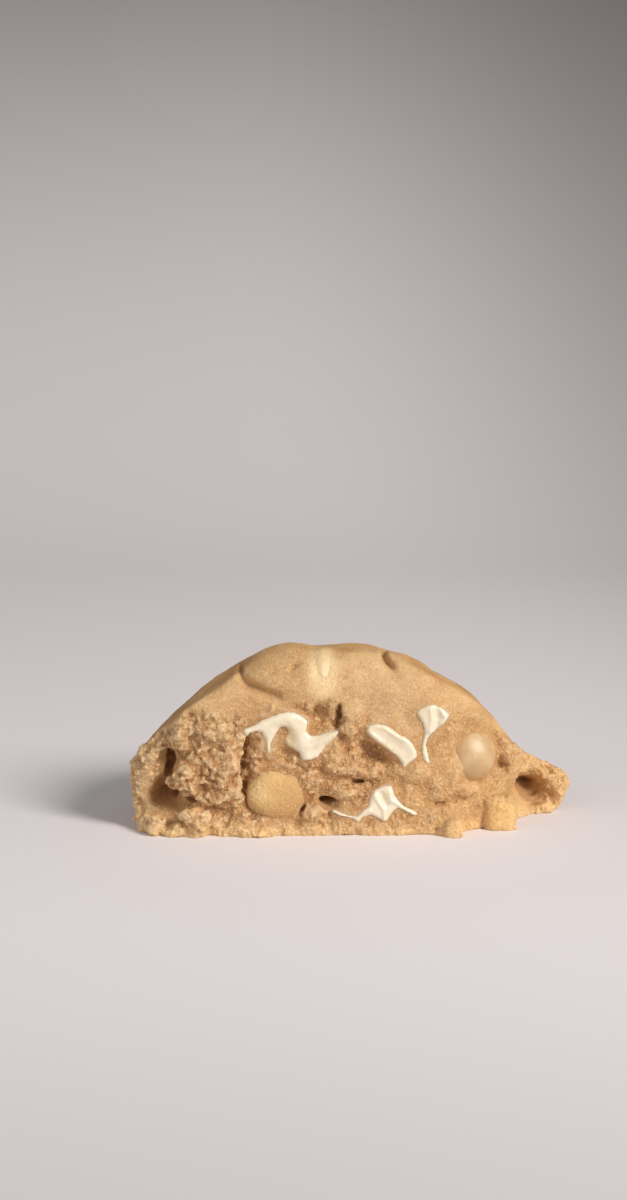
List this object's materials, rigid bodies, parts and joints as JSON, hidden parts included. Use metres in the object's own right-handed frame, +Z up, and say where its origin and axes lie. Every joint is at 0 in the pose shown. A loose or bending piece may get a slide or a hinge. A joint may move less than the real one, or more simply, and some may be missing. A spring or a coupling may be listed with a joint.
{
  "type": "white chocolate macadamia cookie half",
  "caption": "Half of a thick soft-baked cookie, torn upright, with whole macadamia kernels and smears of soft white chocolate showing in the crumb of the torn face.",
  "frame": {"origin": "middle of the outer box in plan, on the flat underside", "axes": "+X along the torn face to the right as seen from the front, +Y away from the torn face into the cookie, +Z up; the torn face looks towards -Y"},
  "size_m": [0.1049, 0.0548, 0.0432],
  "materials": {
    "dough": "soft golden crust outside, coarse moist crumb on the torn face",
    "macadamia": "waxy, partly coated with crumb",
    "white_chocolate": "soft melted cream, satin sheen"
  },
  "bodies": {
    "root": {"cookie": "dough", "macadamia_left": "macadamia", "macadamia_right": "macadamia", "macadamia_crown": "macadamia", "white_chocolate_arch": "white_chocolate", "white_chocolate_slab": "white_chocolate", "white_chocolate_square": "white_chocolate", "white_chocolate_star": "white_chocolate"}
  },
  "joints": []
}
